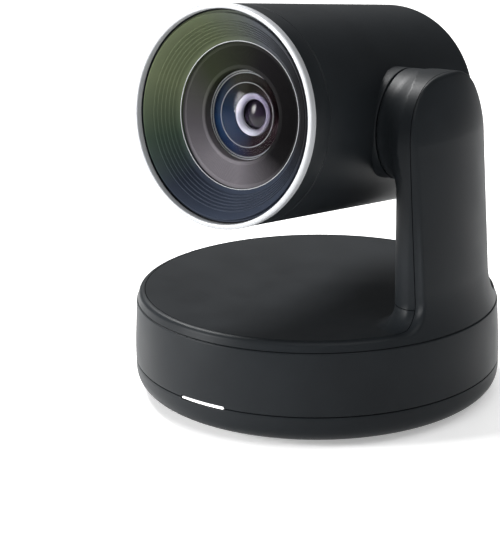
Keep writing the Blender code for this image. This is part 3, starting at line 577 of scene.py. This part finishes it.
class PTZ_OT_base(bpy.types.Operator):
    """Make the bowl, the drum wall, the foot ring and the status light."""

    bl_idname = "ptz.base"
    bl_label = "Base"

    def execute(self, context):
        self.make_bowl()
        self.make_wall()
        outer, inner = FOOT_HIGH.x, FOOT_HIGH.x - FOOT_WIDTH
        foot = rounded([(outer, FOOT_HIGH.z, 0), (outer, 0, 0.5), (inner, 0, 0.5), (inner, FOOT_HIGH.z, 0)])
        place_piece(turned("rubber_foot", foot), finish("rubber"), "base", "rubber", "foot_ring")
        self.make_light()
        return {"FINISHED"}

    def light_notch(self):
        """The space for the light bar, cut in the bowl and in the wall."""
        return block("light_notch", (LIGHT_LOW.x - GAP, -BASE_RADIUS - 3, LIGHT_LOW.z - GAP),
                     (LIGHT_HIGH.x + GAP, LIGHT_HIGH.y - 1, LIGHT_HIGH.z + GAP), LIGHT_ROUNDING)

    def make_bowl(self):
        floor, seam = UNDERSIDE + WALL, LOWER_SEAM - GAP / 2
        outside = superellipse(UNDERSIDE_RADIUS, BASE_RADIUS, BOWL_TOP, UNDERSIDE, BOWL_EXPONENT, 28)
        inside = superellipse(UNDERSIDE_RADIUS - 1.5, INNER_RADIUS, BOWL_TOP, floor, BOWL_EXPONENT, 12)
        outer, inner, top = FOOT_HIGH.x + GAP, FOOT_HIGH.x - FOOT_WIDTH - GAP, FOOT_HIGH.z + GAP
        insert = corners("tripod_insert")[1].x + GAP
        groove = [(outer, UNDERSIDE), (outer, top), (inner, top), (inner, UNDERSIDE)]
        hole = [(insert + 0.4, UNDERSIDE), (insert, UNDERSIDE + 0.4), (insert, floor)]
        lip = [(BASE_RADIUS - 0.35, seam), (BASE_RADIUS - 0.1, seam - 0.12), (BASE_RADIUS, seam - 0.4)]
        bowl = turned("bowl", lip + outside + groove + hole + inside[::-1] + [(INNER_RADIUS, seam)])
        cutters = [self.light_notch()]
        for number in range(1, 5):
            low, high = corners(f"base_screw_{number}")
            middle = (low + high) / 2
            place = Matrix.Translation((middle.x * MM, middle.y * MM, 0))
            cutters.append(solid_rod("counterbore", (high.x - low.x) / 2 + 0.4, -1, 6, place))
        place_piece(carve(bowl, "DIFFERENCE", *cutters), finish("charcoal_shell"), "base", "charcoal_shell",
                    "base_bottom")

    def make_wall(self):
        low, high = LOWER_SEAM + GAP / 2, WALL_HIGH.z
        outline = rounded([(WALL_TOP_RADIUS, high, 0.6), (BASE_RADIUS, 20.0, 4.0), (BASE_RADIUS, low, 0.35),
                           (INNER_RADIUS, low, 0), (INNER_RADIUS, high, 0)])
        wall = turned("drum_wall", outline)
        near, far = REAR_CUT
        window = block("port_window", (-PORT_HALF, near, PORT_LOW), (PORT_HALF, far, PORT_HIGH), 2.0)
        slot_low, slot_high = corners("lock_plate")
        middle = (slot_low + slot_high) / 2
        slot = block("lock_slot", (middle.x - LOCK_HALF_WIDTH, near, middle.z - LOCK_HALF_HEIGHT),
                     (middle.x + LOCK_HALF_WIDTH, far, middle.z + LOCK_HALF_HEIGHT), 1.2)
        wall = carve(wall, "DIFFERENCE", self.light_notch(), window, slot)
        place_piece(wall, finish("charcoal_shell"), "base", "charcoal_shell", "base_wall")

    def make_light(self):
        """A bar with rounded ends, bent to the wall's curve."""
        colours = bpy.context.scene.camera_colours
        bar = block("status_light", (LIGHT_LOW.x, 0, LIGHT_LOW.z + LIGHT_INSET),
                    (LIGHT_HIGH.x, 2.0, LIGHT_HIGH.z - LIGHT_INSET), LIGHT_ROUNDING)
        shape = bmesh.new()
        shape.from_mesh(bar)
        for i in range(1, LIGHT_STEPS):
            x = LIGHT_LOW.x + (LIGHT_HIGH.x - LIGHT_LOW.x) * i / LIGHT_STEPS
            everything = shape.verts[:] + shape.edges[:] + shape.faces[:]
            bmesh.ops.bisect_plane(shape, geom=everything, plane_co=(x * MM, 0, 0), plane_no=(1, 0, 0))
        for vertex in shape.verts:
            radius = (BASE_RADIUS - 0.1) * MM - vertex.co.y
            angle = vertex.co.x / (BASE_RADIUS * MM)
            vertex.co.x, vertex.co.y = radius * math.sin(angle), -radius * math.cos(angle)
        mesh = finished_mesh("status_light", shape)
        material, tree, shader = new_finish("lit diffuser", {"Emission Strength": colours.light_glow,
                                                             "Roughness": 0.35})
        place = linked(tree, "ShaderNodeTexCoord").outputs["Object"]
        speck = linked(tree, "ShaderNodeTexNoise", {"Vector": place, "Scale": 300.0}).outputs["Fac"]
        tint = ramp(tree, speck, [(0.3, scaled(colours.light, 0.92)), (0.7, tuple(colours.light))])
        along = linked(tree, "ShaderNodeSeparateXYZ", {"Vector": place}).outputs["X"]
        share = linked(tree, "ShaderNodeMapRange", {"Value": along, "From Min": LIGHT_LOW.x * MM,
                                                    "From Max": LIGHT_HIGH.x * MM}).outputs["Result"]
        fade = ramp(tree, share, [(0.0, (0.25,) * 3), (0.3, (0.7,) * 3), (0.6, (1.0,) * 3)])
        tree.links.new(multiplied(tree, tint, fade), shader.inputs["Emission Color"])
        tree.links.new(tint, shader.inputs["Base Color"])
        place_piece(mesh, material, "base", "light_diffuser", "light_bar")


class PTZ_OT_turret(bpy.types.Operator):
    """Make the ring with the arm's cover, the deck and the arm's inner shell."""

    bl_idname = "ptz.turret"
    bl_label = "Turret"

    def execute(self, context):
        half_gap = context.scene.camera_sizes.seam_gap / MM / 2
        reach = COVER_HIGH.y + 2
        whole = surface_of("turret", turret_field, (-reach, -reach, DECK_LOW.z - 1),
                           (reach, reach, ARM_TOP + 2), FIELD_STEP)
        seam = Vector((SEAM_X, 0, SEAM_Z))
        leaning = Vector((1, 0, SEAM_LEAN)).normalized()
        outside = self.seam_cutter("seam_outside", DECK_RADIUS + GAP, seam + leaning * half_gap, leaning)
        inside = self.seam_cutter("seam_inside", DECK_RADIUS, seam - leaning * half_gap, leaning)
        cover = carve(whole.copy(), "DIFFERENCE", outside)
        cover.name = "ring_and_cover"
        cover = keep_side(cover, (0, 0, COVER_LOW.z), (0, 0, -1))
        inner = carve(whole, "INTERSECT", inside)
        shell = keep_side(inner, (0, 0, ROOT_SEAM + half_gap), (0, 0, -1))
        deck = keep_side(inner, (0, 0, ROOT_SEAM - half_gap), (0, 0, 1))
        shell.name, deck.name = "arm_inside", "turret_deck"
        start = Matrix.Translation((BOSS_FACE * MM - BOSS_BORE_START * MM, 0, TILT_Z * MM))
        bore = solid_rod("boss_bore", BOSS_BORE, 0, BOSS_BORE_LENGTH,
                         start @ Matrix.Rotation(math.pi / 2, 4, "Y"), ROUND_STEPS)
        shell = carve(shell, "DIFFERENCE", bore)
        for mesh, node in ((cover, "turret_cover"), (shell, "arm_inner_shell"), (deck, "deck")):
            shade_from(mesh, turret_field)
            place_piece(mesh, finish("charcoal_shell"), "turret", "charcoal_shell", node)
        return {"FINISHED"}

    def seam_cutter(self, name, radius, point, normal):
        """A tall cylinder cut off by the leaning seam."""
        rod = solid_rod(name, radius, 20, 160, None, 4 * 96)
        return keep_side(rod, point, normal)


class PTZ_OT_head(bpy.types.Operator):
    """Make the head's shell, the front bezel and the bright trim ring."""

    bl_idname = "ptz.head"
    bl_label = "Head"

    def execute(self, context):
        seam = HEAD_SEAM - GAP / 2
        rows = [HEAD_STRAIGHT_END + (seam - 0.3 - HEAD_STRAIGHT_END) * i / 24 for i in range(24, 0, -1)]
        dome = superellipse(0, HEAD_RADIUS, HEAD_STRAIGHT_END, HEAD_REAR, HEAD_EXPONENT, 30)
        hollow = superellipse(0, HEAD_RADIUS - WALL, HEAD_STRAIGHT_END, HEAD_REAR + WALL, HEAD_EXPONENT, 12)
        dome[-1], hollow[-1] = (0, HEAD_REAR), (0, HEAD_REAR + WALL)
        outline = (hollow[::-1] + [(HEAD_RADIUS - WALL, seam), (HEAD_RADIUS - 0.3, seam)]
                   + [(HEAD_RADIUS, row) for row in rows] + dome)
        shell = turned("head_tube", outline, HEAD_FRAME)
        across = Matrix.Translation((0, 0, TILT_Z * MM)) @ Matrix.Rotation(math.pi / 2, 4, "Y")
        outline = rounded([(0, BOSS_FACE - GAP, 0), (BOSS_RADIUS, BOSS_FACE - GAP, 0.4),
                           (BOSS_RADIUS, COLLAR_DEPTH, 0), (0, COLLAR_DEPTH, 0)])
        shell = carve(shell, "UNION", turned("collar", outline, across, 128))
        shell = carve(shell, "DIFFERENCE", solid_rod("shaft_bore", HEAD_BORE, 30, 50, across))
        place_piece(shell, finish("charcoal_shell"), "head", "charcoal_shell", "head_shell")
        back = HEAD_FRONT - TRIM_DEPTH
        bezel = rounded([(HEAD_RADIUS, back - GAP, 0.25), (HEAD_RADIUS, HEAD_SEAM + GAP / 2, 0.3),
                         (HEAD_RADIUS - WALL, HEAD_SEAM + GAP / 2, 0), (HEAD_RADIUS - WALL, back - GAP, 0)])
        place_piece(turned("bezel", bezel, HEAD_FRAME), finish("charcoal_shell"), "head", "charcoal_shell",
                    "front_bezel")
        trim = rounded([(TRIM_OUTER, HEAD_FRONT, 0.7), (TRIM_OUTER, back, 0.2), (TRIM_INNER, back, 0),
                        (TRIM_INNER, HEAD_FRONT, 0.5)])
        place_piece(turned("bright_ring", trim, HEAD_FRAME), finish("polished_trim"), "head", "polished_trim",
                    "trim_ring")
        return {"FINISHED"}


class PTZ_OT_hood(bpy.types.Operator):
    """Make the ribbed lens hood and the threaded cone round the lens."""

    bl_idname = "ptz.hood"
    bl_label = "Lens hood"

    def execute(self, context):
        sizes = context.scene.camera_sizes
        rim = HEAD_RADIUS - WALL - GAP
        slope = (HEAD_FRONT - 0.9 - BAFFLE_DEPTH) / (rim - 0.4 - BAFFLE_RIM)

        def cone(radius):
            return BAFFLE_DEPTH + slope * (radius - BAFFLE_RIM)

        ribbed = self.waves(RIBS_OUTER, RIBS_INNER, sizes.rib_count, sizes.rib_depth / MM, cone)
        lip = cone(rim - 1.3)
        front = [(rim - 1.3, lip), (rim - 1.0, lip - 0.1), (rim - 0.8, lip - 0.5),
                 (rim - 0.7, HEAD_FRONT - 3.0), (rim, HEAD_FRONT - 3.0)]
        back = [(rim, HEAD_FRONT - 3.6), (BAFFLE_STEP_RADIUS, BAFFLE_DEPTH - 2.6),
                (BAFFLE_STEP_RADIUS, BAFFLE_DEPTH - 4), (BAFFLE_RIM, BAFFLE_DEPTH - 4),
                (BAFFLE_RIM, BAFFLE_DEPTH - 0.2), (BAFFLE_RIM + 0.2, BAFFLE_DEPTH)]
        hood = turned("lens_hood", front + back + ribbed[::-1] + [(PLAIN_BAND, cone(PLAIN_BAND))], HEAD_FRAME)
        # Painted reflections and shade round the ribbed hood: olive at the upper left, green at the left, slate at
        # the lower left and bottom, and grey and the plain dark moulding towards the right, where shade falls.
        painted_olive, painted_green, painted_slate, painted_grey, dark = ((0.105, 0.125, 0.07), (0.036, 0.055, 0.04), (0.032, 0.04, 0.06),
                                           (0.05, 0.054, 0.062), (0.012, 0.012, 0.014))
        stops = [(0.0, dark), (0.1, dark), (0.2, painted_grey), (0.3, scaled(painted_olive, 0.7)), (0.42, painted_olive),
                 (0.52, painted_green), (0.62, scaled(painted_slate, 0.7)), (0.75, painted_slate), (0.9, scaled(painted_slate, 0.8)),
                 (1.0, dark)]
        tint = painted_light_material("ribbed hood with painted reflections", stops, 0.5, **{"Specular IOR Level": 0.05})
        place_piece(hood, tint, "head", "black_moulding", "lens_baffle")
        start, end = BAFFLE_RIM - GAP, CELL_RADIUS + 0.8

        def shallow(radius):
            return CELL_FACE + 0.9 * (radius - end) / (start - end)

        threads = self.waves(start - 1.6, end + 0.5, sizes.thread_count, sizes.thread_depth / MM, shallow)
        inside = [(CELL_RADIUS - 0.3, CELL_BACK), (CELL_RADIUS - 0.3, CELL_FACE - 0.25),
                  (CELL_RADIUS, CELL_FACE), (end - 0.2, CELL_FACE)]
        outside = [(start - 0.5, shallow(start - 0.5)), (start - 0.15, shallow(start) + 0.05),
                   (start, shallow(start) - 0.2), (start, CELL_FACE - 3), (CELL_BACK_RADIUS, CELL_STEP),
                   (CELL_BACK_RADIUS, CELL_BACK)]
        cell = turned("lens_surround", inside + threads[::-1] + outside, HEAD_FRAME)
        # Painted light round the threaded cone: a pale rose painted reflection at the left and bottom, dim olive
        # at the top, and near black at the right, where shade falls.
        painted_rose = (0.2, 0.185, 0.205)
        tint = painted_light_material("threaded surround with painted light", [(0.0, scaled(painted_rose, 0.02)), (0.2, scaled(painted_rose, 0.04)),
                                                 (0.35, scaled(painted_olive, 0.2)), (0.5, scaled(painted_rose, 0.3)),
                                                 (0.62, scaled(painted_rose, 0.6)), (0.75, scaled(painted_rose, 0.6)),
                                                 (0.86, scaled(painted_rose, 0.25)), (0.93, scaled(painted_rose, 0.03)),
                                                 (1.0, scaled(painted_rose, 0.02))],
                           0.5, **{"Specular IOR Level": 0.03})
        place_piece(cell, tint, "head", "black_moulding", "lens_cell")
        return {"FINISHED"}

    def waves(self, outer, inner, count, depth, surface):
        """Points of rounded ridges across a cone, from outer to inner."""
        points = []
        for i in range(8 * count + 1):
            share = i / (8 * count)
            radius = outer + (inner - outer) * share
            swell = depth / 2 * (1 - math.cos(math.tau * count * share))
            points.append((radius, surface(radius) + swell - depth))
        return points


class PTZ_OT_lens(bpy.types.Operator):
    """Make the front lens and what shows through it."""

    bl_idname = "ptz.lens"
    bl_label = "Lens"

    def execute(self, context):
        edge = CELL_RADIUS - 0.6
        outer = self.cap(edge, LENS_APEX, LENS_EDGE, 24)
        inner = self.cap(edge, LENS_APEX - LENS_THICKNESS, LENS_EDGE - LENS_THICKNESS, 24)
        clear, tree, shader = new_finish("front glass", {"Base Color": (1, 1, 1, 1), "Roughness": 0.02,
                                                         "IOR": 1.12, "Transmission Weight": 1.0,
                                                         "Specular IOR Level": 0.08})
        dust = linked(tree, "ShaderNodeTexNoise", {"Scale": 900.0}).outputs["Fac"]
        haze = linked(tree, "ShaderNodeMapRange", {"Value": dust, "To Min": 0.0, "To Max": 0.04})
        tree.links.new(haze.outputs["Result"], shader.inputs["Roughness"])
        place_piece(turned("front_element", outer + inner[::-1], HEAD_FRAME), clear, "head", "coated_glass",
                    "front_lens")
        # Painted reflections on the dark second element: deep blue towards the left and near-black burgundy
        # towards the right.
        painted_violet = painted_light_material("second element with painted reflections", [(0.0, (0.008, 0.002, 0.004)), (0.15, (0.008, 0.004, 0.005)),
                                                (0.3, (0.02, 0.02, 0.016)), (0.48, (0.012, 0.034, 0.09)),
                                                (0.62, (0.01, 0.02, 0.06)), (0.8, (0.01, 0.003, 0.007)),
                                                (1.0, (0.008, 0.002, 0.004))],
                             0.3, **{"Specular IOR Level": 0.02})
        bowl = [(edge - 0.1, 45.8), (14.5, 45.9), (12.9, 46.1), (9.2, 44.0), (SECOND_BORE, 43.0),
                (SECOND_BORE, SECOND_BACK), (edge - 0.1, SECOND_BACK)]
        place_piece(turned("second_element", bowl, HEAD_FRAME), painted_violet, "head", "coated_glass")
        rings = (("hood_ring", 28.25, 0.16, 52.25), ("edge_ring_outer", 17.0, 0.3, 47.0),
                 ("edge_ring_inner", 16.2, 0.25, 46.6), ("fine_ring", 12.4, 0.17, 46.6))
        for name, radius, width, along in rings:
            ring = [(radius + width * math.cos(a), along + width * math.sin(a))
                    for a in (math.tau * i / 10 for i in range(10))]
            place_piece(turned(name, ring, HEAD_FRAME), finish("polished_trim"), "head", "polished_trim")
        silver = rounded([(IRIS_RADIUS, 43.0, 0.3), (IRIS_RADIUS, 41.0, 0), (5.9, 41.0, 0), (5.9, 42.4, 0.3),
                          (7.0, 43.3, 0.5)])
        # Painted highlight on the iris ring: palest at the lower left, greyer and darker towards the right.
        painted_lavender = painted_light_material("iris ring with painted highlight", [(0.0, (0.16, 0.14, 0.2)), (0.2, (0.22, 0.19, 0.3)),
                                             (0.4, (0.5, 0.49, 0.62)), (0.6, (0.6, 0.6, 0.7)),
                                             (0.8, (0.45, 0.44, 0.55)), (1.0, (0.16, 0.14, 0.2))], 0.35)
        place_piece(turned("iris_ring", silver, HEAD_FRAME), painted_lavender, "head", "polished_trim")
        dome = [(PUPIL_RADIUS * math.sin(a), 40.2 + 1.7 * math.cos(a)) for a in (0.3, 0.6, 0.9, 1.2, 1.5)]
        pupil = [(0, 41.9), *dome, (PUPIL_RADIUS, 39.9), (0, 39.9)]
        place_piece(turned("pupil", pupil, HEAD_FRAME), finish("coated_glass"), "head", "coated_glass")
        return {"FINISHED"}

    def cap(self, radius, apex, edge, count):
        """Points of a spherical cap from its apex out to its edge."""
        rise = apex - edge
        ball = (radius**2 + rise**2) / (2 * rise)
        most = math.asin(radius / ball)
        return [(ball * math.sin(most * i / count), apex - ball * (1 - math.cos(most * i / count)))
                for i in range(count + 1)]


class PTZ_OT_ports(bpy.types.Operator):
    """Make the tongues inside the sockets."""

    bl_idname = "ptz.ports"
    bl_label = "Ports"

    def execute(self, context):
        tongues = (("hdmi_socket", 5.6, 0.7, 8.5), ("usb_socket", 3.2, 0.35, 6.0))
        for node, half_width, half_height, depth in tongues:
            low, high = corners(node)
            middle = (low + high) / 2
            back = low.y + 1.05
            tongue = block(node + "_tongue", (middle.x - half_width, back, middle.z - half_height),
                           (middle.x + half_width, back + depth, middle.z + half_height), 0.2)
            place_piece(tongue, finish("black_moulding"), "base", "black_moulding")
        return {"FINISHED"}


class PTZ_OT_inner_parts(bpy.types.Operator):
    """Give every carried-over node its finish."""

    bl_idname = "ptz.inner_parts"
    bl_label = "Inner parts"

    def execute(self, context):
        for row in frame["record"]["subparts"]:
            node = frame["nodes"][row["node"]]
            if node.hide_render:
                continue
            node.data.materials.clear()
            node.data.materials.append(finish(row["material_slot"]))
            node.data.shade_smooth()
            node.data.set_sharp_from_angle(angle=NODE_SHARP_ANGLE)
        return {"FINISHED"}


class PTZ_OT_stage(bpy.types.Operator):
    """Make the floor, the light and the camera."""

    bl_idname = "ptz.stage"
    bl_label = "Stage"

    def execute(self, context):
        scene = context.scene
        shape = bmesh.new()
        bmesh.ops.create_grid(shape, x_segments=4, y_segments=4, size=6.0)
        floor = bpy.data.objects.new("floor", finished_mesh("floor", shape))
        scene.collection.objects.link(floor)
        floor.location.z = -0.0001
        floor.data.materials.append(grained_finish(
            "studio floor", scene.camera_colours.floor, 0.9, contrast=0.01,
            **{"Emission Color": (1, 1, 1, 1), "Emission Strength": 0.35}))
        world = bpy.data.worlds.new("studio")
        world.use_nodes = True
        background = world.node_tree.nodes["Background"]
        background.inputs["Color"].default_value = (1, 1, 1, 1)
        background.inputs["Strength"].default_value = 0.12
        scene.world = world
        scene.view_settings.view_transform = "Standard"
        self.add_light("key", (-0.9, -1.1, 0.4), (0.25, 0.5), 25.0)
        self.add_light("right", (1.0, -0.4, 1.2), (0.8, 0.8), 7.0)
        self.add_light("top", (-0.8, 0.3, 1.1), (0.5, 0.5), 28.0)
        self.add_light("back", (-0.9, 1.4, 2.2), (1.6, 1.6), 14.0)
        self.add_light("front", (0.4, -0.6, 1.6), (1.2, 1.2), 7.0)
        self.make_camera(scene)
        return {"FINISHED"}

    def add_light(self, name, place, size, power):
        """A soft box that faces the object."""
        data = bpy.data.lights.new(name, "AREA")
        data.shape = "RECTANGLE"
        data.size, data.size_y = size
        data.energy = power
        lamp = bpy.data.objects.new(name, data)
        bpy.context.scene.collection.objects.link(lamp)
        lamp.location = place
        lamp.rotation_euler = (Vector((0, 0, 0.08)) - Vector(place)).to_track_quat("-Z", "Y").to_euler()

    def make_camera(self, scene):
        """Stands to the right of the lens and a little above it."""
        azimuth, elevation, roll = (math.radians(a) for a in (37.21, 17.43, -1.06))
        distance, aim_right, aim_up = 641.49, -28.72, 45.96
        right = Vector((math.cos(azimuth), math.sin(azimuth), 0))
        forward = Vector((-math.sin(azimuth) * math.cos(elevation), math.cos(azimuth) * math.cos(elevation),
                          -math.sin(elevation)))
        up = right.cross(forward)
        right, up = (right * math.cos(roll) + up * math.sin(roll),
                     up * math.cos(roll) - right * math.sin(roll))
        data = bpy.data.cameras.new("camera")
        data.lens = 98.27
        data.clip_start, data.clip_end = 0.01, 50
        camera = bpy.data.objects.new("camera", data)
        scene.collection.objects.link(camera)
        turn = Matrix((right, up, -forward)).transposed().to_4x4()
        place = right * aim_right + up * aim_up - forward * distance
        camera.matrix_world = Matrix.Translation(place * MM) @ turn
        scene.camera = camera


OPERATORS = (PTZ_OT_base, PTZ_OT_turret, PTZ_OT_head, PTZ_OT_hood, PTZ_OT_lens, PTZ_OT_ports,
             PTZ_OT_inner_parts, PTZ_OT_stage)


class PTZ_PT_panel(bpy.types.Panel):
    """Lists the operators, the sizes and the colours."""

    bl_idname = "PTZ_PT_panel"
    bl_label = "PTZ camera"
    bl_space_type = "VIEW_3D"
    bl_region_type = "UI"
    bl_category = "PTZ camera"

    def draw(self, context):
        for operator in OPERATORS:
            self.layout.operator(operator.bl_idname)
        for group in (context.scene.camera_sizes, context.scene.camera_colours):
            for name in group.bl_rna.properties.keys():
                if name not in ("rna_type", "name"):
                    self.layout.prop(group, name)


CLASSES = (CameraSizes, CameraColours, *OPERATORS, PTZ_PT_panel)


def register():
    for cls in CLASSES:
        bpy.utils.register_class(cls)
    bpy.types.Scene.camera_sizes = bpy.props.PointerProperty(type=CameraSizes)
    bpy.types.Scene.camera_colours = bpy.props.PointerProperty(type=CameraColours)


def unregister():
    del bpy.types.Scene.camera_colours
    del bpy.types.Scene.camera_sizes
    for cls in reversed(CLASSES):
        bpy.utils.unregister_class(cls)


def main():
    register()
    bpy.ops.ptz.base()
    bpy.ops.ptz.turret()
    bpy.ops.ptz.head()
    bpy.ops.ptz.hood()
    bpy.ops.ptz.lens()
    bpy.ops.ptz.ports()
    bpy.ops.ptz.inner_parts()
    bpy.ops.ptz.stage()


if __name__ == "__main__":
    main()
